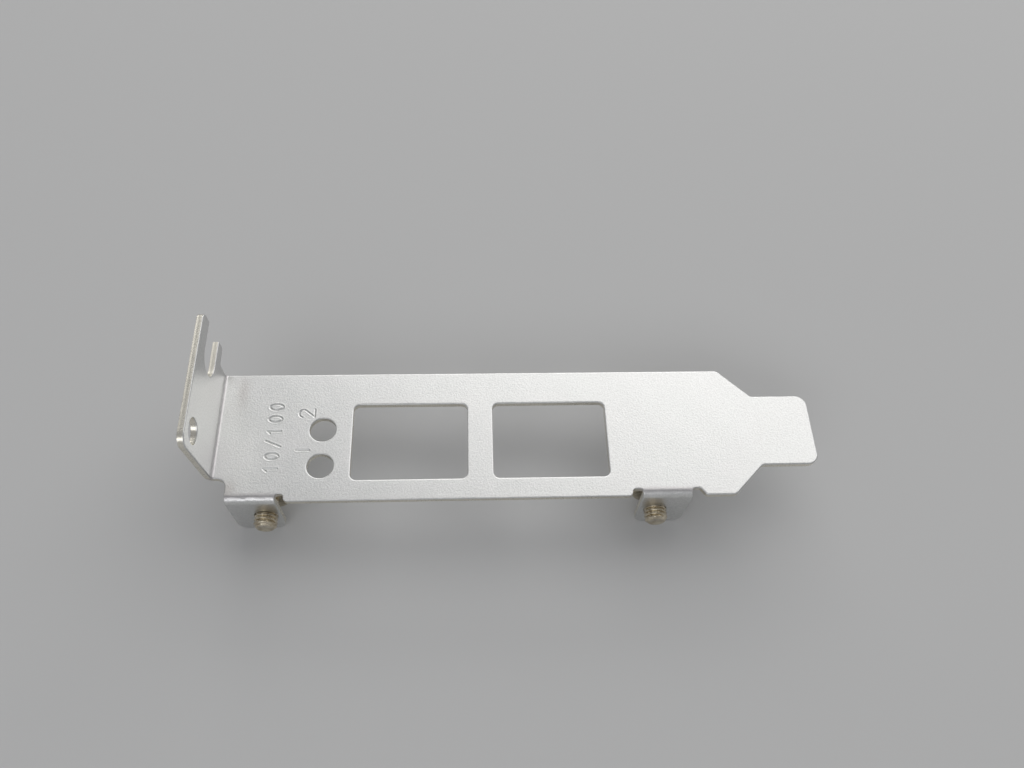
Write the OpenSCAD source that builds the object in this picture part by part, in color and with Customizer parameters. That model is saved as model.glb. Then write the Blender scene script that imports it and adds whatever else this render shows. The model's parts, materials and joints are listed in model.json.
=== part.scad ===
// Low-profile expansion-slot cover bracket with two connector windows, two
// indicator holes, a folded screw flange and two folded card tabs, each tab
// holding one M3 card screw.
//
// Frame: X runs from the flange's seating face to the tongue, Y across the
// plate with the ear on the +Y side, Z out of the plate's outer face.
// The origin is the corner where the seating face meets the outer face, on the
// plate's centre line. Lengths are in millimetres.

/* [Sheet] */
// Thickness of the steel sheet
sheet_t = 0.86; // [0.8:0.02:1.0]
// Inside radius of the fold between plate and flange
flange_fold_r = 0.4; // [0.3:0.05:0.8]
// Inside radius of the folds between plate and card tabs
tab_fold_r = 0.1; // [0.05:0.05:0.3]

/* [Plate] */
// Overall length, from the flange's top face to the tip of the tongue
overall_l = 79.20; // [78.6:0.1:80.0]
// Width of the plate
plate_w = 18.42; // [18.0:0.02:18.8]
// Width of the tongue
tongue_w = 10.19; // [9.8:0.01:10.6]
// Length of the straight-sided tongue beyond the shoulders
tongue_l = 7.52; // [6.8:0.02:8.0]
// Radius of the tongue's two corners
tongue_corner_r = 1.5; // [0.8:0.1:2.5]
// Radius where each shoulder leaves the plate's long edge
shoulder_r = 1.0; // [0.4:0.1:2.0]
// Radius where each shoulder meets the tongue
neck_r = 0.8; // [0.4:0.1:1.5]

/* [Connector windows] */
// Length of each window along the plate
window_l = 14.97; // [13.5:0.01:15.5]
// Height of each window across the plate
window_h = 10.88; // [9.5:0.01:11.5]
// Distance from the seating face to the first window
window_x = 17.37; // [16.6:0.01:18.0]
// Distance between the first and the second window's near sides
window_pitch = 18.35; // [17.6:0.01:19.0]
// Middle of the windows, across the plate
window_y = -0.97; // [-1.5:0.01:0.0]
// Radius of the windows' corners
window_r = 0.8; // [0.4:0.1:1.5]

/* [Indicator holes] */
// Radius of each indicator hole
led_r = 1.70; // [1.4:0.05:1.9]
// Distance from the seating face to the indicator holes
led_x = 13.50; // [12.8:0.01:14.2]
// Upper indicator hole, across the plate
led_y_upper = 0.81; // [0.4:0.01:1.4]
// Lower indicator hole, across the plate
led_y_lower = -4.40; // [-5.0:0.01:-3.8]

/* [Flange] */
// Height of the flange above the plate's outer face
flange_h = 11.43; // [10.8:0.01:12.2]
// Far edge of the ear, from the plate's centre line
ear_y = 11.70; // [11.0:0.01:12.4]
// Height at which the ear starts above the plate's outer face
ear_z = 2.80; // [2.2:0.05:3.2]
// Near side of the flange at the fold, from the plate's centre line
flange_y_fold = -5.95; // [-6.6:0.05:-5.2]
// Near side of the flange at its free end, from the plate's centre line
flange_y_end = -6.65; // [-7.4:0.05:-5.8]
// Radius of the flange's near corner
flange_corner_r = 1.5; // [0.6:0.1:2.2]
// Radius of the ear's far corner
ear_corner_r = 1.1; // [0.5:0.1:1.4]
// Width of the open notch for the chassis screw
notch_w = 4.42; // [4.1:0.01:4.6]
// Height of the notch's middle above the plate's outer face
notch_z = 6.80; // [6.4:0.01:7.1]
// Middle of the notch's round end, from the plate's centre line
notch_y = 7.55; // [7.0:0.01:8.2]
// Radius of the small hole in the flange
flange_hole_r = 1.65; // [1.3:0.05:1.9]
// Small hole, from the plate's centre line
flange_hole_y = -3.70; // [-4.2:0.01:-3.2]
// Height of the small hole above the plate's outer face
flange_hole_z = 8.65; // [8.0:0.01:9.2]

/* [Card tabs] */
// Side of the first tab nearer the flange
tab1_x0 = 1.85; // [1.7:0.01:2.3]
// Side of the first tab nearer the tongue
tab1_x1 = 8.12; // [8.0:0.01:8.4]
// Side of the second tab nearer the flange
tab2_x0 = 54.78; // [54.6:0.01:55.0]
// Side of the second tab nearer the tongue
tab2_x1 = 61.15; // [61.0:0.01:61.3]
// Depth of the tabs behind the plate's outer face
tab_d = 8.90; // [8.2:0.05:9.6]
// Radius of the tabs' free corners
tab_corner_r = 1.3; // [0.6:0.1:1.8]
// Screw hole in the first tab, from the seating face
screw1_x = 6.20; // [5.8:0.01:6.3]
// Distance between the two tabs' screw holes
screw_pitch = 50.80; // [50.6:0.01:51.4]
// Depth of the screw holes behind the plate's outer face
screw_z = 4.80; // [4.4:0.05:5.2]

/* [Card screws] */
// Thread radius of the card screws
screw_r = 1.50; // [1.4:0.05:1.5]
// Length of the screws under the head
screw_l = 4.00; // [3.5:0.1:6.0]
// How far the screws stand out of the tabs' outer faces
screw_out = 1.75; // [1.2:0.05:2.4]
// Radius of the screws' pan heads
head_r = 2.75; // [2.4:0.05:2.9]
// Height of the screws' pan heads
head_h = 1.90; // [1.5:0.05:2.2]

/* [Hidden] */

$fn = 64;
eps = 0.01;
half_w = plate_w / 2;
half_t = tongue_w / 2;
tip_x = overall_l - sheet_t;
neck_x = tip_x - tongue_l;
shoulder_x = neck_x - (half_w - half_t);
ff = flange_fold_r;
fo = tab_fold_r + sheet_t;          // outside radius of a tab's fold
fold_y = -half_w + fo;              // where a tab's fold starts on the plate
bore_gap = 0.03;                    // play between a screw and its tab hole
bore_r = screw_r + bore_gap;
screw_x = [screw1_x, screw1_x + screw_pitch];
tabs = [[tab1_x0, tab1_x1], [tab2_x0, tab2_x1]];

// ---- rounded outlines -------------------------------------------------
// Each entry of an outline is [x, y, corner radius].
function unit(v) = v / norm(v);
function turn(a, b, c) = (b[0] - a[0]) * (c[1] - b[1]) - (b[1] - a[1]) * (c[0] - b[0]);
function corner(a, b, c) =
    let (p = [b[0], b[1]],
         u = unit([a[0] - b[0], a[1] - b[1]]),
         v = unit([c[0] - b[0], c[1] - b[1]]),
         half = acos(max(-1, min(1, u * v))) / 2,
         r = b[2])
    r <= 0 || half > 89 ? [p] :
    let (reach = r / tan(half),
         mid = p + unit(u + v) * r / sin(half),
         p0 = p + u * reach,
         p1 = p + v * reach,
         a0 = atan2(p0[1] - mid[1], p0[0] - mid[0]),
         a1 = atan2(p1[1] - mid[1], p1[0] - mid[0]),
         raw = a1 - a0,
         sweep = raw > 180 ? raw - 360 : raw < -180 ? raw + 360 : raw,
         n = max(2, ceil(abs(sweep) / 11.25)))
    [for (i = [0:n]) mid + r * [cos(a0 + sweep * i / n), sin(a0 + sweep * i / n)]];
function rounded(pts) =
    let (n = len(pts))
    [for (i = [0:n - 1]) each corner(pts[(i + n - 1) % n], pts[i], pts[(i + 1) % n])];

// The flat plate between the three folds, seen from its outer face.
plate_pts = [
    [ff, half_w, 0],
    [ff, flange_y_fold, 0],
    [tab1_x0, flange_y_fold, 1.35],
    [tab1_x0, fold_y, 0],
    [tab1_x1, fold_y, 0],
    [tab1_x1 + 0.02, fold_y + 0.08, 0],
    [tab1_x1 + 1.08, fold_y + 0.08, 0.42],
    [tab1_x1 + 1.08, -half_w, 0.50],
    [tab2_x0 - 1.45, -half_w, 0.50],
    [tab2_x0 - 1.30, fold_y + 0.05, 0.42],
    [tab2_x0 - 0.02, fold_y + 0.05, 0],
    [tab2_x0, fold_y, 0],
    [tab2_x1, fold_y, 0],
    [tab2_x1 + 0.02, fold_y + 0.05, 0],
    [tab2_x1 + 1.00, fold_y + 0.05, 0.45],
    [tab2_x1 + 1.75, -half_w, 0.55],
    [shoulder_x, -half_w, shoulder_r],
    [neck_x, -half_t, neck_r],
    [tip_x, -half_t, tongue_corner_r],
    [tip_x, half_t, tongue_corner_r],
    [neck_x, half_t, neck_r],
    [shoulder_x, half_w, shoulder_r]
];

// The flange seen along X: first value across the plate, second its height.
flange_pts = [
    [flange_y_fold, ff, 0],
    [half_w, ff, 0],
    [half_w, ear_z, 0.35],
    [ear_y, ear_z, 0.45],
    [ear_y, flange_h, ear_corner_r],
    [flange_y_end, flange_h, flange_corner_r]
];

module window_shape() {
    w = window_l / 2 - window_r;
    h = window_h / 2 - window_r;
    square([window_l, window_h - 2 * window_r], center = true);
    square([window_l - 2 * window_r, window_h], center = true);
    for (i = [-1, 1], j = [-1, 1]) translate([i * w, j * h]) circle(r = window_r);
}

module flat_plate() {
    difference() {
        translate([0, 0, -sheet_t]) linear_extrude(sheet_t) polygon(rounded(plate_pts));
        for (i = [0, 1])
            translate([window_x + window_l / 2 + i * window_pitch, window_y, -sheet_t - 1])
                linear_extrude(sheet_t + 2) window_shape();
        for (y = [led_y_upper, led_y_lower])
            translate([led_x, y, -sheet_t - 1]) cylinder(r = led_r, h = sheet_t + 2);
    }
}

// Quarter-round fold that joins the plate to the flange.
module flange_fold() {
    translate([ff, half_w, ff]) rotate([90, 0, 0])
        linear_extrude(half_w - flange_y_fold)
            intersection() {
                difference() {
                    circle(r = ff + sheet_t);
                    circle(r = ff);
                }
                translate([-ff - sheet_t - 1, -ff - sheet_t - 1])
                    square([ff + sheet_t + 1 + eps, ff + sheet_t + 1 + eps]);
            }
}

module flange() {
    difference() {
        // profile drawn in Y and Z, thickness towards -X
        translate([-sheet_t, 0, 0]) rotate([90, 0, 90])
            linear_extrude(sheet_t) polygon(rounded(flange_pts));
        // open notch for the chassis screw
        translate([-sheet_t - 1, notch_y, notch_z]) rotate([0, 90, 0])
            cylinder(r = notch_w / 2, h = sheet_t + 2);
        translate([-sheet_t - 1, notch_y, notch_z - notch_w / 2])
            cube([sheet_t + 2, ear_y - notch_y + 1, notch_w]);
        // small round hole
        translate([-sheet_t - 1, flange_hole_y, flange_hole_z]) rotate([0, 90, 0])
            cylinder(r = flange_hole_r, h = sheet_t + 2);
    }
}

// Quarter-round fold that joins the plate to a tab.
module tab_fold(x0, x1) {
    translate([x0, fold_y, -fo]) rotate([90, 0, 90])
        linear_extrude(x1 - x0)
            intersection() {
                difference() {
                    circle(r = fo);
                    circle(r = tab_fold_r);
                }
                translate([-fo - 1, -eps]) square([fo + 1 + eps, fo + 1]);
            }
}

module tab(x0, x1, hole_x) {
    pts = [
        [x0, -fo, 0],
        [x1, -fo, 0],
        [x1, -tab_d, tab_corner_r],
        [x0, -tab_d, tab_corner_r]
    ];
    difference() {
        // profile drawn in X and Z, thickness towards +Y
        translate([0, -half_w + sheet_t, 0]) rotate([90, 0, 0])
            linear_extrude(sheet_t) polygon(rounded(pts));
        translate([hole_x, -half_w - 1, -screw_z]) rotate([-90, 0, 0])
            cylinder(r = bore_r, h = sheet_t + 2);
    }
}

// One folded sheet: plate, flange and both tabs.
module bracket() {
    color([0.80, 0.80, 0.79]) union() {
        flat_plate();
        flange_fold();
        flange();
        for (i = [0, 1]) {
            tab_fold(tabs[i][0], tabs[i][1]);
            tab(tabs[i][0], tabs[i][1], screw_x[i]);
        }
    }
}

// Pan-head screw with a cross recess; its axis is Y, its point faces -Y.
module card_screw() {
    tip = -half_w - screw_out;
    under = tip + screw_l;
    chamfer = 0.35;
    translate([0, under, 0]) rotate([90, 0, 0]) difference() {
        union() {
            // turned profile: [radius, distance towards the point]
            rotate_extrude() polygon([
                [0, -head_h],
                [0.55 * head_r, -head_h],
                [0.74 * head_r, -0.95 * head_h],
                [0.88 * head_r, -0.83 * head_h],
                [0.965 * head_r, -0.64 * head_h],
                [head_r, -0.42 * head_h],
                [head_r, -0.06 * head_h],
                [0.965 * head_r, 0],
                [screw_r, 0],
                [screw_r, screw_l - chamfer],
                [screw_r - chamfer, screw_l],
                [0, screw_l]
            ]);
        }
        // cross recess in the head
        for (a = [0, 90]) rotate([0, 0, a + 20])
            translate([-1.45, -0.34, -head_h - 1]) cube([2.9, 0.68, 2.15]);
        translate([0, 0, -head_h - 1]) cylinder(r = 0.62, h = 2.45);
    }
}

module tab_screws() {
    color([0.72, 0.68, 0.58])
        for (x = screw_x) translate([x, 0, -screw_z]) card_screw();
}

bracket();
tab_screws();
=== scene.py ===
import bpy, json, math
import numpy as np
from mathutils import Matrix, Vector
from mathutils.geometry import delaunay_2d_cdt

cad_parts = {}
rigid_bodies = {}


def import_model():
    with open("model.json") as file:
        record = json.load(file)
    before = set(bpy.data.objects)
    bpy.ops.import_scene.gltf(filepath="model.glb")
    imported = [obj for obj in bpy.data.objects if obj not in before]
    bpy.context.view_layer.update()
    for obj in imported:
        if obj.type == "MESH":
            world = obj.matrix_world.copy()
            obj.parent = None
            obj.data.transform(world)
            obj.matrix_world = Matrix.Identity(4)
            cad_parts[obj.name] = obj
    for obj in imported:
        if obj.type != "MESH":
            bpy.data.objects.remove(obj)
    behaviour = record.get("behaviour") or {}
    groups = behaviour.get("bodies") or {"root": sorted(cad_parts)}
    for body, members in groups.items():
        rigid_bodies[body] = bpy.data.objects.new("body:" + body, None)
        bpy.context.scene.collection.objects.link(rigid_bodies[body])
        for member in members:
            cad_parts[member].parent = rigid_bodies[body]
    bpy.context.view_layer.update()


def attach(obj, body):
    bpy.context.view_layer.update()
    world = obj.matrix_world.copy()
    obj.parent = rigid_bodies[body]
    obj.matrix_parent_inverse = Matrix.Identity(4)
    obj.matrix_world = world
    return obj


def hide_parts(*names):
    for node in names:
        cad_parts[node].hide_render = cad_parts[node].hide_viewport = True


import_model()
scene = bpy.context.scene
M = 0.001

# ---------------------------------------------------------------- sizes, mm
T = 0.86                    # sheet
FF = 0.40                   # flange fold, inside radius
FO = 0.96                   # tab fold, outside radius
HW = 9.21                   # half the plate's width
HT = 5.095                  # half the tongue's width
TIP = 78.34
NECK = 70.82
SHOULDER = NECK - (HW - HT)
FOLD_Y = -HW + FO
ARC_F = (FF + T / 2) * math.pi / 2
ARC_T = (FO - T / 2) * math.pi / 2
FLANGE_H, EAR_Y, EAR_Z = 11.43, 11.70, 2.80
Y_FOLD, Y_END = -5.95, -6.65
NOTCH_R, NOTCH_Z, NOTCH_Y = 2.21, 6.80, 7.55
HOLE_Y, HOLE_Z, HOLE_R = -3.70, 8.65, 1.65
TABS = [(1.85, 8.12, 6.20), (54.78, 61.15, 57.00)]
TAB_D, SCREW_Z, BORE_R = 8.90, 4.80, 1.53
WIN_X, WIN_L, WIN_H, WIN_PITCH, WIN_Y, WIN_R = 17.37, 14.97, 10.88, 18.35, -0.97, 0.8
LED_X, LED_R, LED_Y = 13.50, 1.70, (0.81, -4.40)


# ------------------------------------------- the flat blank, before folding
def ub(z):
    """Where a height z on the flange lies on the flat blank."""
    return FF - ARC_F - (z - FF)


def vb(z):
    """Where a depth z on a tab lies on the flat blank."""
    return FOLD_Y - ARC_T - (abs(z) - FO)


def corner(a, b, c, r, step=0.14):
    a, b, c = (np.array(p, float) for p in (a, b, c))
    u = (a - b) / np.linalg.norm(a - b)
    v = (c - b) / np.linalg.norm(c - b)
    half = math.acos(max(-1, min(1, float(u @ v)))) / 2
    if r <= 0 or half > math.radians(89.3):
        return [b]
    mid = b + (u + v) / np.linalg.norm(u + v) * r / math.sin(half)
    reach = r / math.tan(half)
    p0, p1 = b + u * reach, b + v * reach
    a0 = math.atan2(p0[1] - mid[1], p0[0] - mid[0])
    a1 = math.atan2(p1[1] - mid[1], p1[0] - mid[0])
    s = (a1 - a0 + math.pi) % (2 * math.pi) - math.pi
    n = max(5, int(math.ceil(abs(s) * r / step)))
    return [mid + r * np.array([math.cos(a0 + s * i / n), math.sin(a0 + s * i / n)]) for i in range(n + 1)]


def rounded(pts):
    out = []
    n = len(pts)
    for i in range(n):
        a, b, c = pts[i - 1], pts[i], pts[(i + 1) % n]
        out += corner(a[:2], b[:2], c[:2], b[2])
    return out


def arc(cx, cy, r, a0, a1, n):
    return [np.array([cx + r * math.cos(a0 + (a1 - a0) * i / n), cy + r * math.sin(a0 + (a1 - a0) * i / n)])
            for i in range(n + 1)]


def fill_in(loop, step=0.45):
    """Adds points along long straight runs."""
    out = []
    n = len(loop)
    for i in range(n):
        a, b = np.array(loop[i]), np.array(loop[(i + 1) % n])
        d = np.linalg.norm(b - a)
        if d < 1e-6:
            continue
        k = max(1, int(math.ceil(d / step)))
        out += [a + (b - a) * j / k for j in range(k)]
    return out


def crossings(loop, lines):
    """Puts a point wherever the loop crosses one of the fold lines."""
    out = []
    n = len(loop)
    for i in range(n):
        a, b = loop[i], loop[(i + 1) % n]
        out.append(a)
        ts = []
        for axis, val in lines:
            d = b[axis] - a[axis]
            if abs(d) > 1e-9:
                t = (val - a[axis]) / d
                if 0.02 < t < 0.98:
                    ts.append(t)
        out += [a + (b - a) * t for t in sorted(ts)]
    return out


# One closed outline: [x, y, corner radius], and the notch's round end as an arc.
path = [
    (TIP, -HT, 1.5), (TIP, HT, 1.5), (NECK, HT, 0.8), (SHOULDER, HW, 1.0),
    (ub(EAR_Z), HW, 0.35), (ub(EAR_Z), EAR_Y, 0.45), (ub(NOTCH_Z - NOTCH_R), EAR_Y, 0.22),
    (ub(NOTCH_Z - NOTCH_R), NOTCH_Y, 0), "notch", (ub(NOTCH_Z + NOTCH_R), NOTCH_Y, 0),
    (ub(NOTCH_Z + NOTCH_R), EAR_Y, 0.22), (ub(FLANGE_H), EAR_Y, 1.1),
    (ub(FLANGE_H), Y_END, 1.5), (ub(FF), Y_FOLD, 0), (FF, Y_FOLD, 0),
    (TABS[0][0], Y_FOLD, 1.35), (TABS[0][0], vb(TAB_D), 1.3), (TABS[0][1], vb(TAB_D), 1.3),
    (TABS[0][1], FOLD_Y + 0.08, 0.36), (TABS[0][1] + 1.08, FOLD_Y + 0.08, 0.45),
    (TABS[0][1] + 1.08, -HW, 0.50), (TABS[1][0] - 1.45, -HW, 0.50), (TABS[1][0] - 1.30, FOLD_Y + 0.05, 0.50),
    (TABS[1][0], FOLD_Y + 0.05, 0.40), (TABS[1][0], vb(TAB_D), 1.3),
    (TABS[1][1], vb(TAB_D), 1.3), (TABS[1][1], FOLD_Y + 0.05, 0.34),
    (TABS[1][1] + 1.00, FOLD_Y + 0.05, 0.45), (TABS[1][1] + 1.75, -HW, 0.55),
    (SHOULDER, -HW, 1.0), (NECK, -HT, 0.8)]
outline = []
for i, p in enumerate(path):
    if p == "notch":
        outline += arc(ub(NOTCH_Z), NOTCH_Y, NOTCH_R, 0, -math.pi, 34)[1:-1]
        continue
    a, b = path[i - 1], path[(i + 1) % len(path)]
    if a == "notch" or b == "notch":
        outline.append(np.array(p[:2]))
    else:
        outline += corner(a[:2], p[:2], b[:2], p[2])


def ring(cx, cy, r, n):
    return [np.array([cx + r * math.cos(2 * math.pi * i / n), cy + r * math.sin(2 * math.pi * i / n)]) for i in range(n)]


holes = []
for i in range(2):
    x0 = WIN_X + i * WIN_PITCH
    y0, y1 = WIN_Y - WIN_H / 2, WIN_Y + WIN_H / 2
    holes.append(rounded([(x0, y0, WIN_R), (x0 + WIN_L, y0, WIN_R), (x0 + WIN_L, y1, WIN_R), (x0, y1, WIN_R)]))
for y in LED_Y:
    holes.append(ring(LED_X, y, LED_R, 72))
holes.append(ring(ub(HOLE_Z), HOLE_Y, HOLE_R, 72))
for x0, x1, xs in TABS:
    holes.append(ring(xs, vb(SCREW_Z), BORE_R, 64))

NB = 9                                              # steps round each fold
f_lines = [FF - ARC_F * i / NB for i in range(NB + 1)]
t_lines = [FOLD_Y - ARC_T * i / NB for i in range(NB + 1)]
LINES = [(0, u) for u in f_lines] + [(1, v) for v in t_lines]


def densify(loop):
    return crossings(fill_in(loop), LINES)


def dedupe(loop, tol=0.012):
    out = [loop[0]]
    for p in loop[1:]:
        if np.linalg.norm(p - out[-1]) > tol:
            out.append(p)
    if np.linalg.norm(out[0] - out[-1]) <= tol:
        out.pop()
    return np.array(out)


loops = [dedupe(densify(outline))] + [dedupe(densify(h)) for h in holes]


def area(p):
    q = np.roll(p, -1, 0)
    return 0.5 * float(np.sum(p[:, 0] * q[:, 1] - q[:, 0] * p[:, 1]))


loops = [(p if area(p) > 0 else p[::-1]) if k == 0 else (p if area(p) < 0 else p[::-1]) for k, p in enumerate(loops)]


def inward(p):
    """Unit vectors into the metal at each point of a loop (metal is on the left)."""
    d = np.roll(p, -1, 0) - p
    d /= np.linalg.norm(d, axis=1)[:, None]
    n = np.stack([-d[:, 1], d[:, 0]], 1)
    m = n + np.roll(n, 1, 0)
    l = np.linalg.norm(m, axis=1)
    m /= l[:, None]
    k = 1 / np.clip((m * n).sum(1), 0.5, 1)         # mitre
    return m * k[:, None]


# Edge profile of a blanked sheet: die roll on the outer face, then the
# burnished and torn wall, then a small break on the back.
ROLL_D, ROLL_H = 0.20, 0.13
BACK = 0.06


def profile():
    """(distance in from the edge, depth below the outer face) down the edge."""
    top = []
    for k in range(8):
        a = math.radians(90 * k / 7)
        top.append((ROLL_D * (1 - math.sin(a)), ROLL_H * (1 - math.cos(a))))
    wall = [(0.0, T * 0.36), (0.006, T * 0.50), (0.018, T * 0.66), (0.014, T * 0.82), (0.010, T - BACK)]
    back = [(0.022, T - BACK * 0.45), (BACK, T)]
    return top + wall + back


PROF = profile()


def roll_scale(p, k):
    """Tabs, prongs and tapped holes were pierced more cleanly than the long edges."""
    if k >= 6:
        return np.full(len(p), 0.22)
    if k == 5:
        return np.full(len(p), 0.45)
    if k in (3, 4):
        return np.full(len(p), 0.8)
    s = np.ones(len(p))
    s = np.where((p[:, 1] < FOLD_Y + 0.3) & (p[:, 0] < 62), 0.6, s)
    return s


# ------------------------------------------------------------ debossed marks
def glyph(ch):
    """Strokes in a cell 0.62 wide and 1 high."""
    def el(cx, cy, rx, ry, a0=0, a1=360, n=20):
        return [(cx + rx * math.cos(math.radians(a0 + (a1 - a0) * i / n)),
                 cy + ry * math.sin(math.radians(a0 + (a1 - a0) * i / n))) for i in range(n + 1)]
    if ch == "0":
        return [el(0.31, 0.5, 0.25, 0.5)]
    if ch == "1":
        return [[(0.14, 0.80), (0.33, 1.0), (0.33, 0.0)]]
    if ch == "2":
        return [el(0.31, 0.74, 0.27, 0.26, 165, -40, 14) + [(0.05, 0.0), (0.60, 0.0)]]
    if ch == "/":
        return [[(0.06, -0.06), (0.56, 1.06)]]
    return []


def place(text, x_base, y_start, height, advance):
    """Text reading along +Y with its top towards -X."""
    out = []
    for k, ch in enumerate(text):
        for s in glyph(ch):
            out.append(np.array([(x_base - py * height, y_start + k * advance + px * height) for px, py in s]))
    return out


marks = [
    dict(strokes=place("10/100", 8.10, -5.30, 1.72, 1.80), w=0.135, d=0.085),
    dict(strokes=place("2", 12.30, 2.60, 2.05, 1.3), w=0.12, d=0.07),
    dict(strokes=[np.array([(11.95, -2.13), (10.22, -2.11)])], w=0.135, d=0.09),
]


def mark_depth(u, v):
    """How far the outer face is pressed in at points (u, v)."""
    z = np.zeros(len(u))
    for m in marks:
        best = np.full(len(u), 1e9)
        pts = np.concatenate(m["strokes"])
        near = ((u > pts[:, 0].min() - 1) & (u < pts[:, 0].max() + 1) & (v > pts[:, 1].min() - 1) & (v < pts[:, 1].max() + 1))
        if not near.any():
            continue
        uu, vv = u[near], v[near]
        b = np.full(len(uu), 1e9)
        for s in m["strokes"]:
            for p, q in zip(s[:-1], s[1:]):
                d = q - p
                t = np.clip(((uu - p[0]) * d[0] + (vv - p[1]) * d[1]) / max(float(d @ d), 1e-9), 0, 1)
                b = np.minimum(b, np.hypot(uu - p[0] - t * d[0], vv - p[1] - t * d[1]))
        best[near] = b
        x = np.clip((best - m["w"] * 0.35) / (m["w"] * 0.85), 0, 1)
        groove = 1 - x * x * (3 - 2 * x)
        # the metal swells very slightly round a pressed stroke
        lip = np.exp(-((best - m["w"] * 1.75) / (m["w"] * 0.55)) ** 2) * 0.10
        z += m["d"] * (groove - lip)
    return z


def sag(u, v):
    """Slow unevenness of a pressed sheet, a few hundredths of a millimetre."""
    return (0.012 * np.sin(u * 0.21 + 0.7) * np.cos(v * 0.33 + 0.4) + 0.008 * np.sin(u * 0.47 - v * 0.29)
            + 0.006 * np.cos(u * 0.83 + v * 0.61 + 1.1))


# ------------------------------------------------------------------- folding
def fold(u, v, w):
    """Blank position and depth below the outer face to the folded sheet."""
    x, y, z = u.copy(), v.copy(), -w
    # flange
    a = np.clip((FF - u) / ARC_F, 0, 1) * math.pi / 2
    m = u < FF
    x = np.where(m, FF - (FF + w) * np.sin(a), x)
    z = np.where(m, FF - (FF + w) * np.cos(a), z)
    h = FF - ARC_F - u
    m2 = h > 0
    x = np.where(m2, -w, x)
    z = np.where(m2, FF + h, z)
    # tabs
    tab = ((u > 1.5) & (u < 8.6)) | ((u > 54.3) & (u < 61.5))
    b = np.clip((FOLD_Y - v) / ARC_T, 0, 1) * math.pi / 2
    m3 = tab & (v < FOLD_Y)
    y = np.where(m3, FOLD_Y - (FO - w) * np.sin(b), y)
    z = np.where(m3, -FO + (FO - w) * np.cos(b), z)
    d = FOLD_Y - ARC_T - v
    m4 = tab & (d > 0)
    y = np.where(m4, -HW + w, y)
    z = np.where(m4, -FO - d, z)
    return np.stack([x, y, z], 1)


# --------------------------------------------------------------- build sheet
def inside(pts, polys):
    """Even-odd test of many points against all the loops together."""
    x, y = pts[:, 0], pts[:, 1]
    c = np.zeros(len(pts), bool)
    for p in polys:
        q = np.roll(p, -1, 0)
        for (x0, y0), (x1, y1) in zip(p, q):
            if y0 == y1:
                continue
            k = (y0 > y) != (y1 > y)
            if k.any():
                c[k] ^= x[k] < (x1 - x0) * (y[k] - y0) / (y1 - y0) + x0
    return c


def steiner(inner_loops, fine):
    """Free points inside the face: a coarse lattice, fold rows and fine lattices at the marks."""
    pts = []
    gx = np.arange(-14.0, 79.0, 0.8)
    gy = np.arange(-17.5, 12.5, 0.8)
    a, b = np.meshgrid(gx, gy)
    a = a + 0.4 * (np.arange(a.shape[0]) % 2)[:, None]
    pts.append(np.stack([a.ravel(), b.ravel()], 1))
    for u in f_lines:
        vv = np.arange(-5.6, 9.0, 0.8)
        pts.append(np.stack([np.full(len(vv), u), vv], 1))
    for x0, x1, _ in TABS:
        for v in t_lines:
            uu = np.arange(x0 + 0.35, x1 - 0.3, 0.6)
            pts.append(np.stack([uu, np.full(len(uu), v)], 1))
    boxes = []
    if fine:
        for m in marks:
            p = np.concatenate(m["strokes"])
            lo, hi = p.min(0) - 0.5, p.max(0) + 0.5
            s = 0.05
            a, b = np.meshgrid(np.arange(lo[0], hi[0], s), np.arange(lo[1], hi[1], s))
            g = np.stack([a.ravel(), b.ravel()], 1)
            z = mark_depth(g[:, 0], g[:, 1])
            # keep the fine points only where the face is not flat
            keep = np.abs(z) > 0.0006
            edge = ((np.round((g[:, 0] - lo[0]) / s) % 4 == 0) & (np.round((g[:, 1] - lo[1]) / s) % 4 == 0))
            pts.append(g[keep | edge])
            boxes.append((lo, hi))
    out = []
    for k, p in enumerate(pts):
        if k < len(pts) - len(boxes):
            for lo, hi in boxes:
                p = p[~((p[:, 0] > lo[0] - 0.1) & (p[:, 0] < hi[0] + 0.1) & (p[:, 1] > lo[1] - 0.1) & (p[:, 1] < hi[1] + 0.1))]
        out.append(p)
    p = np.concatenate(out)
    p = p[inside(p, inner_loops)]
    # stay clear of the rings along the edges
    allr = np.concatenate(inner_loops)
    keep = np.ones(len(p), bool)
    for i in range(0, len(p), 400):
        d = np.min(np.hypot(p[i:i + 400, None, 0] - allr[None, :, 0], p[i:i + 400, None, 1] - allr[None, :, 1]), 1)
        keep[i:i + 400] = d > 0.10
    return p[keep]


def triangulate(inner_loops, free):
    verts, edges = [], []
    for lp in inner_loops:
        n0 = len(verts)
        verts += [Vector(p) for p in lp]
        edges += [(n0 + i, n0 + (i + 1) % len(lp)) for i in range(len(lp))]
    nl = len(verts)
    verts += [Vector(p) for p in free]
    v2, _, f2, src, _, _ = delaunay_2d_cdt(verts, edges, [], 0, 1e-7, True)
    v2 = np.array([tuple(p) for p in v2])
    tris = np.array([f for f in f2 if len(f) == 3])
    cen = v2[tris].mean(1)
    tris = tris[inside(cen, inner_loops)]
    e1, e2 = v2[tris[:, 1]] - v2[tris[:, 0]], v2[tris[:, 2]] - v2[tris[:, 0]]
    flip = (e1[:, 0] * e2[:, 1] - e1[:, 1] * e2[:, 0]) < 0
    tris[flip] = tris[flip][:, ::-1]
    # map input vertex -> output vertex
    back = {}
    for o, ins in enumerate(src):
        for i in ins:
            back[i] = o
    return v2, tris, back, nl


rings2d = []
inw = [inward(p) for p in loops]
scl = [roll_scale(p, k) for k, p in enumerate(loops)]
for d, _ in PROF:
    rings2d.append([p + n * (d * c)[:, None] for p, n, c in zip(loops, inw, scl)])

V, F = [], []          # blank coordinates (u, v, w) and faces


def add(points, w):
    n0 = len(V)
    V.extend(np.column_stack([points, w]).tolist())
    return n0


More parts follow.
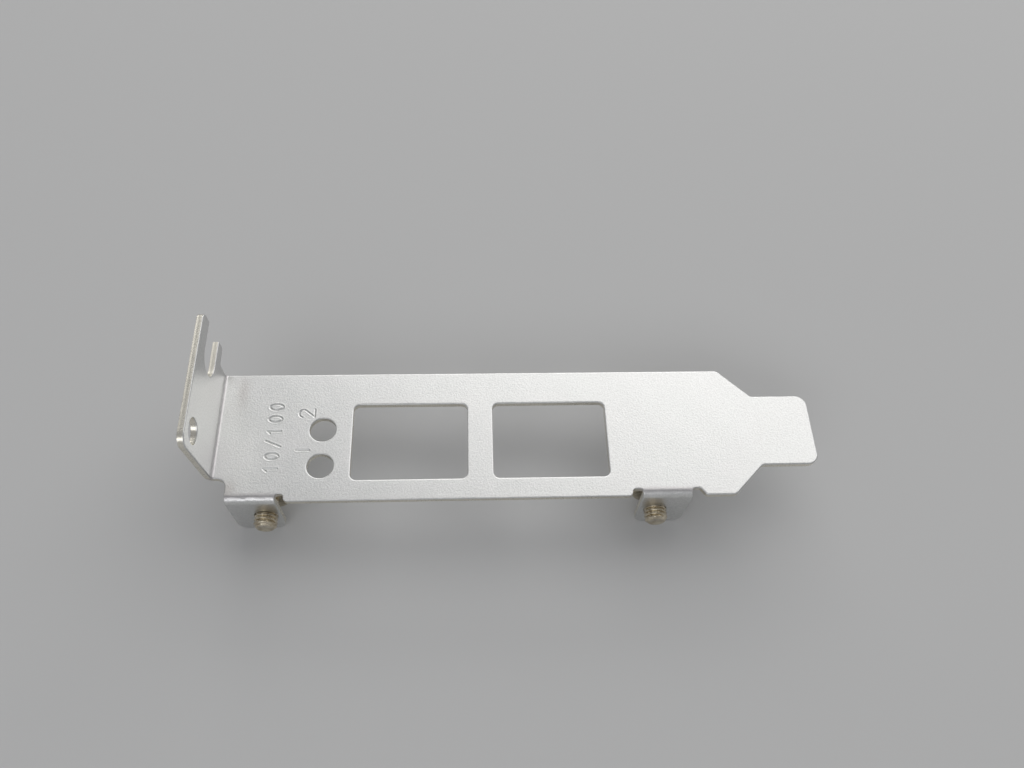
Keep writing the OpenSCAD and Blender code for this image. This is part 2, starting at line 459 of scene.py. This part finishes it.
# top face
top_inner = rings2d[0]
free = steiner(top_inner, True)
v2, tris, back, nl = triangulate(top_inner, free)
wz = mark_depth(v2[:, 0], v2[:, 1])
n_top = add(v2, wz)
F += [(n_top + a, n_top + b, n_top + c) for a, b, c in tris.tolist()]
ids = []
k = 0
for lp in top_inner:
    ids.append([n_top + back[k + i] for i in range(len(lp))])
    k += len(lp)

# edge rings
prev = ids
for (d, w), rr in list(zip(PROF, rings2d))[1:]:
    cur = []
    for lp, c in zip(rr, scl):
        n0 = add(lp, w * c if w < T / 3 else np.full(len(lp), w))
        cur.append(list(range(n0, n0 + len(lp))))
    for a, b in zip(prev, cur):
        n = len(a)
        for i in range(n):
            j = (i + 1) % n
            F.append((a[i], b[i], b[j], a[j]))
    prev = cur

# back face
back_inner = rings2d[-1]
free_b = steiner(back_inner, False)
v2b, trisb, backb, _ = triangulate(back_inner, free_b)
loop_ids = [i for lp in prev for i in lp]
remap = {}
k = 0
for lp in back_inner:
    for i in range(len(lp)):
        remap[backb[k + i]] = loop_ids[k + i]
    k += len(lp)
others = [i for i in range(len(v2b)) if i not in remap]
n0 = add(v2b[others], np.full(len(others), T))
for j, i in enumerate(others):
    remap[i] = n0 + j
F += [(remap[c], remap[b], remap[a]) for a, b, c in trisb.tolist()]

V = np.array(V)
P = fold(V[:, 0], V[:, 1], V[:, 2])
# the whole sheet follows the same slow unevenness, both faces together, always inwards from the box
flatw = np.clip((V[:, 0] - FF - 1.0) / 8.0, 0, 1)
flatw = flatw * flatw * (3 - 2 * flatw)
ramp_y = np.clip((V[:, 1] - FOLD_Y) / 6.0, 0, 1)
flatw = flatw * ramp_y * ramp_y * (3 - 2 * ramp_y)
s = sag(V[:, 0], V[:, 1])
P[:, 2] += flatw * (s * 0.6 - 0.016)
print("sheet", len(V), "points", len(F), "faces")


def make(name, verts, faces, uv=None, smooth=True):
    me = bpy.data.meshes.new(name)
    me.from_pydata([tuple(p) for p in verts], [], faces)
    me.update()
    if uv is not None:
        lay = me.uv_layers.new(name="blank")
        li = np.zeros(len(me.loops), np.int32)
        me.loops.foreach_get("vertex_index", li)
        lay.data.foreach_set("uv", np.asarray(uv)[li].astype(np.float32).ravel())
    me.validate(verbose=False)
    me.polygons.foreach_set("use_smooth", [smooth] * len(me.polygons))
    ob = bpy.data.objects.new(name, me)
    scene.collection.objects.link(ob)
    return ob


def area_normals(me):
    """Vertex normals weighted by face area, so that flats stay flat and only the edges turn."""
    co = np.zeros(len(me.vertices) * 3)
    me.vertices.foreach_get("co", co)
    co = co.reshape(-1, 3)
    me.calc_loop_triangles()
    t = np.zeros(len(me.loop_triangles) * 3, np.int32)
    me.loop_triangles.foreach_get("vertices", t)
    t = t.reshape(-1, 3)
    n = np.cross(co[t[:, 1]] - co[t[:, 0]], co[t[:, 2]] - co[t[:, 0]])
    out = np.zeros_like(co)
    for k in range(3):
        np.add.at(out, t[:, k], n)
    out /= np.maximum(np.linalg.norm(out, axis=1), 1e-20)[:, None]
    me.normals_split_custom_set_from_vertices(out.tolist())


sheet = make("bracket_sheet", P * M, F, uv=V[:, :2] * 0.01)
area_normals(sheet.data)

# how near each point is to an edge, how deep a mark is and where the folds run, for the finish and for the painted
# shade in marks and folds
edge = np.zeros(len(V))
edge[: len(v2)] = 0
depth_attr = sheet.data.attributes.new("mark", "FLOAT", "POINT")
md = mark_depth(V[:, 0], V[:, 1]) / 0.08
md[len(v2):] = 0
depth_attr.data.foreach_set("value", md.astype(np.float32))
wall = np.clip((V[:, 2] - ROLL_H * 0.75) / 0.05, 0, 1)
wall[: len(v2)] = 0
wall[V[:, 2] > T - 0.05] = 0
wall_attr = sheet.data.attributes.new("wall", "FLOAT", "POINT")
wall_attr.data.foreach_set("value", wall.astype(np.float32))
# a narrow band along each fold's centre, used to paint shade into the crease
fold_shade_amount = np.exp(-(((V[:, 0] - (FF - ARC_F * 0.42)) / 0.34) ** 2)) * (V[:, 0] < 4)
tabz = ((V[:, 0] > 1.5) & (V[:, 0] < 8.6)) | ((V[:, 0] > 54.3) & (V[:, 0] < 61.5))
fold_shade_amount = np.maximum(fold_shade_amount, 0.8 * np.exp(-(((V[:, 1] - (FOLD_Y - ARC_T * 0.15)) / 0.22) ** 2)) * tabz)
fold_shade_attr = sheet.data.attributes.new("fold", "FLOAT", "POINT")
fold_shade_attr.data.foreach_set("value", fold_shade_amount.astype(np.float32))

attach(sheet, "root")
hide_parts("bracket")


# -------------------------------------------------------------------- screws
def screw(name, x, turn):
    """M3 x 0.5 pan-head screw, point towards -Y, thread cut as real geometry."""
    R, PITCH, L, HR, HH = 1.50, 0.5, 4.0, 2.75, 1.9
    tip = -HW - 1.75
    under = tip + L
    n, m = 72, 132
    verts, faces = [], []
    ys = np.linspace(0, L, m + 1)
    for j, y in enumerate(ys):
        for i in range(n):
            a = 2 * math.pi * i / n
            ph = ((y / PITCH) + i / n + turn) % 1.0
            tri = abs(ph - 0.5) * 2                      # 0 at the crest
            tri = min(max((tri - 0.14) / 0.70, 0), 1)
            tri = tri * tri * (3 - 2 * tri) * 0.35 + tri * 0.65
            r = R - 0.004 - 0.30 * tri
            near_head = min(max((y - 0.15) / 0.35, 0), 1)
            r = r * near_head + (R - 0.15) * (1 - near_head)
            r = min(r, R - 0.42 + (L - y) * 1.15 if y > L - 0.4 else 9)
            verts.append((r * math.cos(a), y, r * math.sin(a)))
    for j in range(m):
        for i in range(n):
            k = (i + 1) % n
            faces.append((j * n + i, (j + 1) * n + i, (j + 1) * n + k, j * n + k))
    # domed end
    base = m * n
    r_end = math.hypot(verts[base][0], verts[base][2])
    for q, (f, dz) in enumerate([(0.93, 0.012), (0.80, 0.0), (0.5, -0.045), (0.25, -0.06)]):
        for i in range(n):
            a = 2 * math.pi * i / n
            verts.append((r_end * f * math.cos(a), L - 0.02 + dz, r_end * f * math.sin(a)))
        c = (m + 1 + q) * n
        for i in range(n):
            k = (i + 1) % n
            faces.append((c - n + i, c + i, c + k, c - n + k))
    verts.append((0, L - 0.085, 0))
    c = (m + 4) * n
    for i in range(n):
        faces.append((c + i, len(verts) - 1, c + (i + 1) % n))
    # closed under the head
    verts.append((0, -0.2, 0))
    for i in range(n):
        faces.append(((i + 1) % n, len(verts) - 1, i))
    pts = [(p[0], under - p[1], p[2]) for p in verts]
    shank = make(name, np.array([(p[0] + x, p[1], p[2] - SCREW_Z) for p in pts]) * M, faces)
    area_normals(shank.data)

    # head: turned profile, radius against height above the seat
    prof = [(0.0, HH - 0.0), (0.5, HH - 0.004), (1.0, HH - 0.02), (1.45, HH - 0.07), (1.85, HH - 0.17),
            (2.2, HH - 0.34), (2.45, HH - 0.56), (2.62, HH - 0.82), (2.71, HH - 1.12), (2.745, HH - 1.42),
            (2.745, 0.16), (2.72, 0.07), (2.66, 0.02), (2.56, 0.0), (1.9, 0.0), (1.42, 0.0), (0.0, 0.0)]
    n = 96
    hv, hf = [], []
    rows = []
    for r, h in prof:
        if r == 0:
            hv.append((0, h, 0))
            rows.append([len(hv) - 1])
        else:
            rows.append(list(range(len(hv), len(hv) + n)))
            hv += [(r * math.cos(2 * math.pi * i / n), h, r * math.sin(2 * math.pi * i / n)) for i in range(n)]
    for a, b in zip(rows[:-1], rows[1:]):
        for i in range(n):
            k = (i + 1) % n
            if len(a) == 1:
                hf.append((a[0], b[k], b[i]))
            elif len(b) == 1:
                hf.append((a[i], a[k], b[0]))
            else:
                hf.append((a[i], a[k], b[k], b[i]))
    head = make(name + "_head_raw", np.array([(p[0] + x, p[1] + under, p[2] - SCREW_Z) for p in hv]) * M, hf, smooth=False)

    # cross recess: two tapered bars and a cone
    def frustum(l0, w0, l1, w1, d0, d1, ang):
        c, s_ = math.cos(ang), math.sin(ang)
        out = []
        for l, w_, d in ((l0, w0, d0), (l1, w1, d1)):
            for sx, sz in ((-1, -1), (1, -1), (1, 1), (-1, 1)):
                px, pz = sx * l / 2, sz * w_ / 2
                out.append((px * c - pz * s_ + x, d + under, px * s_ + pz * c - SCREW_Z))
        fs = [(0, 1, 2, 3), (7, 6, 5, 4), (0, 4, 5, 1), (1, 5, 6, 2), (2, 6, 7, 3), (3, 7, 4, 0)]
        return out, fs
    cut_v, cut_f = [], []
    for q in (0, 1):
        vv, ff = frustum(1.35, 0.42, 3.05, 0.66, HH - 1.25, HH + 0.3, math.radians(20 + turn * 360 + 90 * q))
        cut_f = [tuple(i for i in f) for f in ff]
        c = make(f"{name}_cut{q}", np.array(vv) * M, cut_f, smooth=False)
        c.hide_render = True
        md_ = head.modifiers.new(f"cut{q}", "BOOLEAN")
        md_.object = c
        md_.operation = "DIFFERENCE"
        md_.solver = "EXACT"
    cone_v, cone_f = [], []
    nn = 32
    for r, d in ((0.10, HH - 1.5), (0.66, HH - 0.75), (0.98, HH + 0.3)):
        cone_v += [(r * math.cos(2 * math.pi * i / nn) + x, d + under, r * math.sin(2 * math.pi * i / nn) - SCREW_Z) for i in range(nn)]
    for q in range(2):
        for i in range(nn):
            k = (i + 1) % nn
            cone_f.append((q * nn + i, q * nn + k, (q + 1) * nn + k, (q + 1) * nn + i)[::-1])
    cone_f.append(tuple(range(nn)))
    cone_f.append(tuple(reversed(range(2 * nn, 3 * nn))))
    c = make(f"{name}_cut2", np.array(cone_v) * M, cone_f, smooth=False)
    c.hide_render = True
    md_ = head.modifiers.new("cut2", "BOOLEAN")
    md_.object = c
    md_.operation = "DIFFERENCE"
    md_.solver = "EXACT"
    for o in (head, c):
        pass
    for o in [head] + [bpy.data.objects[f"{name}_cut{q}"] for q in range(3)]:
        import bmesh
        bm = bmesh.new()
        bm.from_mesh(o.data)
        bmesh.ops.recalc_face_normals(bm, faces=bm.faces)
        bm.to_mesh(o.data)
        bm.free()
    bv = head.modifiers.new("bevel", "BEVEL")
    bv.width = 0.05 * M
    bv.segments = 2
    bv.limit_method = "ANGLE"
    bv.angle_limit = math.radians(32)
    bv.use_clamp_overlap = True
    dg = bpy.context.evaluated_depsgraph_get()
    me = bpy.data.meshes.new_from_object(head.evaluated_get(dg))
    for q in range(3):
        bpy.data.objects.remove(bpy.data.objects[f"{name}_cut{q}"])
    bpy.data.objects.remove(head)
    head = bpy.data.objects.new(name + "_head", me)
    scene.collection.objects.link(head)
    me.polygons.foreach_set("use_smooth", [True] * len(me.polygons))
    me.set_sharp_from_angle(angle=math.radians(28))
    # one object: shank and head together
    bpy.ops.object.select_all(action="DESELECT")
    head.select_set(True)
    shank.select_set(True)
    bpy.context.view_layer.objects.active = shank
    bpy.ops.object.join()
    return shank


screws = [screw("card_screw_1", 6.20, 0.15), screw("card_screw_2", 57.00, 0.62)]
for o in screws:
    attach(o, "root")
    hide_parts("tab_screws")


# ----------------------------------------------------------------- materials
def mat(name):
    m = bpy.data.materials.new(name)
    m.use_nodes = True
    nt = m.node_tree
    nt.nodes.clear()
    out = nt.nodes.new("ShaderNodeOutputMaterial")
    b = nt.nodes.new("ShaderNodeBsdfPrincipled")
    nt.links.new(b.outputs[0], out.inputs[0])
    return m, nt, b


class N:
    def __init__(s, nt):
        s.nt = nt

    def new(s, kind, **kw):
        n = s.nt.nodes.new(kind)
        for k, v in kw.items():
            setattr(n, k, v)
        return n

    def link(s, a, b):
        s.nt.links.new(a, b)

    def noise(s, vec, scale, detail=3, rough=0.5, dist=0.0):
        n = s.new("ShaderNodeTexNoise")
        n.inputs["Scale"].default_value = scale
        n.inputs["Detail"].default_value = detail
        n.inputs["Roughness"].default_value = rough
        n.inputs["Distortion"].default_value = dist
        s.link(vec, n.inputs["Vector"])
        return n.outputs["Fac"]

    def ramp(s, fac, lo, hi, a=0.0, b=1.0):
        n = s.new("ShaderNodeMapRange")
        n.inputs["From Min"].default_value = lo
        n.inputs["From Max"].default_value = hi
        n.inputs["To Min"].default_value = a
        n.inputs["To Max"].default_value = b
        n.clamp = True
        s.link(fac, n.inputs["Value"])
        return n.outputs["Result"]

    def math(s, op, a, b=None, c=None):
        n = s.new("ShaderNodeMath", operation=op)
        for i, v in enumerate((a, b, c)):
            if v is None:
                continue
            if isinstance(v, (int, float)):
                n.inputs[i].default_value = v
            else:
                s.link(v, n.inputs[i])
        return n.outputs[0]

    def mix(s, fac, a, b):
        n = s.new("ShaderNodeMix", data_type="RGBA")
        for key, v in ((0, fac), (6, a), (7, b)):
            if isinstance(v, (int, float)):
                n.inputs[key].default_value = v
            elif isinstance(v, tuple):
                n.inputs[key].default_value = (*v, 1)
            else:
                s.link(v, n.inputs[key])
        return n.outputs[2]

    def attr(s, name):
        n = s.new("ShaderNodeAttribute", attribute_name=name)
        return n.outputs["Fac"]

    def bump(s, height, dist, strength=1.0, normal=None):
        n = s.new("ShaderNodeBump")
        n.inputs["Distance"].default_value = dist
        n.inputs["Strength"].default_value = strength
        s.link(height, n.inputs["Height"])
        if normal is not None:
            s.link(normal, n.inputs["Normal"])
        return n.outputs["Normal"]


def sheet_material():
    m, nt, b = mat("plated_steel_sheet")
    n = N(nt)
    tc = n.new("ShaderNodeTexCoord")
    obj = tc.outputs["Object"]
    sep = n.new("ShaderNodeSeparateXYZ")
    n.link(obj, sep.inputs[0])
    X, Y = sep.outputs[0], sep.outputs[1]
    stipple = n.noise(obj, 4200, 3, 0.60)            # about 0.24 mm
    fine = n.noise(obj, 14000, 1, 0.5)
    cloud = n.noise(obj, 160, 4, 0.6)
    wide = n.noise(obj, 45, 3, 0.5)
    # colour: pale zinc with faint clouds; painted shade darkening the plate towards the flange fold, broken up by
    # noise; two brown smudges near the flange fold
    tone = n.ramp(cloud, 0.30, 0.72)
    col = n.mix(tone, (0.765, 0.772, 0.758), (0.835, 0.832, 0.822))
    col = n.mix(n.ramp(stipple, 0.34, 0.60, 0.42, 0.0), col, (0.56, 0.565, 0.55))
    # painted shade: the plate is painted darker towards the flange, where the flange shades it
    flange_corner_shade = n.math("MULTIPLY", n.ramp(wide, 0.40, 0.62), n.ramp(X, 0.0045, 0.0012))
    col = n.mix(n.math("MULTIPLY", flange_corner_shade, 0.22), col, (0.56, 0.55, 0.57))
    for cx, cy, rx, ry, f in ((0.0026, 0.0066, 0.0007, 0.0021, 0.42), (0.0023, -0.0074, 0.0008, 0.0009, 0.36)):
        dx = n.math("DIVIDE", n.math("SUBTRACT", X, cx), rx)
        dy = n.math("DIVIDE", n.math("SUBTRACT", Y, cy), ry)
        d2 = n.math("ADD", n.math("MULTIPLY", dx, dx), n.math("MULTIPLY", dy, dy))
        spot = n.math("MULTIPLY", n.math("POWER", 2.718, n.math("MULTIPLY", d2, -0.8)), n.ramp(wide, 0.25, 0.6, 0.45, 1.0))
        col = n.mix(n.math("MULTIPLY", spot, f), col, (0.50, 0.45, 0.42))
    # pressed strokes are painted darker, as painted shade in the grooves
    mark_groove_shade = n.ramp(n.attr("mark"), 0.15, 1.0)
    col = n.mix(n.math("MULTIPLY", mark_groove_shade, 0.42), col, (0.42, 0.425, 0.41))
    # sheared wall: bare steel, streaked
    wall = n.attr("wall")
    mp = n.new("ShaderNodeMapping")
    n.link(obj, mp.inputs[0])
    mp.inputs["Scale"].default_value = (1, 1, 0.15)
    streak = n.noise(mp.outputs[0], 9000, 2, 0.6)
    col = n.mix(n.math("MULTIPLY", wall, 0.85), col, n.mix(n.ramp(streak, 0.35, 0.65), (0.78, 0.74, 0.63), (0.92, 0.88, 0.77)))
    # folds: a purple-grey band along the fold centre, painted shade in the crease
    fold_shade = n.attr("fold")
    col = n.mix(n.math("MULTIPLY", fold_shade, 0.55), col, (0.50, 0.46, 0.47))
    n.link(col, b.inputs["Base Color"])
    b.inputs["Metallic"].default_value = 1.0
    r = n.ramp(cloud, 0.3, 0.7, 0.30, 0.37)
    r = n.math("SUBTRACT", r, n.math("MULTIPLY", wall, 0.07))
    r = n.math("ADD", r, n.math("MULTIPLY", n.ramp(stipple, 0.35, 0.65), 0.05))
    n.link(r, b.inputs["Roughness"])
    h = n.math("ADD", n.math("MULTIPLY", stipple, 0.7), n.math("MULTIPLY", fine, 0.3))
    h = n.math("MULTIPLY", h, n.math("SUBTRACT", 1.0, n.math("MULTIPLY", wall, 0.75)))
    nb = n.bump(h, 0.000045, 0.80)
    ns = n.bump(streak, 0.00003, 0.25, nb)
    nw = n.bump(cloud, 0.00012, 0.10, nb)
    n.link(nw, b.inputs["Normal"])
    return m


def screw_material():
    m, nt, b = mat("nickel_plated_screw")
    n = N(nt)
    tc = n.new("ShaderNodeTexCoord")
    obj = tc.outputs["Object"]
    a = n.noise(obj, 1400, 3, 0.6)
    f = n.noise(obj, 9000, 2, 0.5)
    col = n.mix(n.ramp(a, 0.35, 0.65), (0.50, 0.43, 0.32), (0.78, 0.71, 0.57))
    n.link(col, b.inputs["Base Color"])
    b.inputs["Metallic"].default_value = 1.0
    n.link(n.ramp(a, 0.3, 0.7, 0.13, 0.25), b.inputs["Roughness"])
    n.link(n.bump(f, 0.000012, 0.4), b.inputs["Normal"])
    return m


sheet.data.materials.clear()
sheet.data.materials.append(sheet_material())
sm = screw_material()
for o in screws:
    o.data.materials.clear()
    o.data.materials.append(sm)


# --------------------------------------------------------------------- stage
def floor_material():
    m, nt, b = mat("studio_floor")
    b.inputs["Base Color"].default_value = (0.60, 0.60, 0.595, 1)
    b.inputs["Roughness"].default_value = 0.85
    b.inputs["Specular IOR Level"].default_value = 0.15
    return m


fz = -8.96 * M
S = 1.2
floor = make("studio_floor", [(-S, -S, fz), (S, -S, fz), (S, S, fz), (-S, S, fz)], [(0, 1, 2, 3)], smooth=False)
floor.data.materials.append(floor_material())

world = bpy.data.worlds.new("studio")
scene.world = world
world.use_nodes = True
bg = world.node_tree.nodes["Background"]
bg.inputs[0].default_value = (0.96, 0.97, 1.0, 1)
bg.inputs[1].default_value = 0.34


def light(name, pos, target, size, size_y, radiance, color=(1, 1, 1)):
    """A rectangular soft light of the given radiance."""
    d = bpy.data.lights.new(name, "AREA")
    d.shape = "RECTANGLE"
    d.size, d.size_y = size, size_y
    d.energy = radiance * math.pi * size * size_y
    d.color = color
    o = bpy.data.objects.new(name, d)
    scene.collection.objects.link(o)
    o.location = pos
    o.rotation_mode = "QUATERNION"
    o.rotation_quaternion = (Vector(target) - Vector(pos)).to_track_quat("-Z", "Y")
    return o


c = (0.038, 0.0, 0.0)
light("key_above", (0.25, 0.45, 0.52), c, 1.04, 0.64, 1.05, (1.0, 0.99, 0.975))
light("window_back", (0.12, 0.75, 0.30), c, 0.80, 0.22, 1.9, (1.0, 0.99, 0.97))
light("fill_front", (-0.18, -0.55, 0.42), c, 0.60, 0.30, 1.5, (0.97, 0.98, 1.0))

# -------------------------------------------------------------------- camera
F_PX, CX, CY = 848.94, 512.0, 420.0
R = np.array([[0.9989909919431513, -0.031055692572313595, 0.032442903311710784],
              [-0.012141829057477795, -0.8822404373724052, -0.4706425253332796],
              [0.043238570785562, 0.4697737270471835, -0.8817273225734931]])
CAM = np.array([33.41660289, -50.9468248, 99.17661077])
cd = bpy.data.cameras.new("photo_camera")
cam = bpy.data.objects.new("photo_camera", cd)
scene.collection.objects.link(cam)
rot = Matrix((R.T @ np.diag([1, -1, -1])).tolist())
cam.matrix_world = Matrix.Translation(Vector(CAM * M)) @ rot.to_4x4()
cd.sensor_fit = "HORIZONTAL"
cd.sensor_width = 36.0
cd.lens = F_PX / 1024 * 36.0
cd.shift_x = (512.0 - CX) / 1024
cd.shift_y = (CY - 384.0) / 1024
cd.clip_start, cd.clip_end = 0.005, 10
scene.camera = cam
scene.view_settings.view_transform = "Standard"
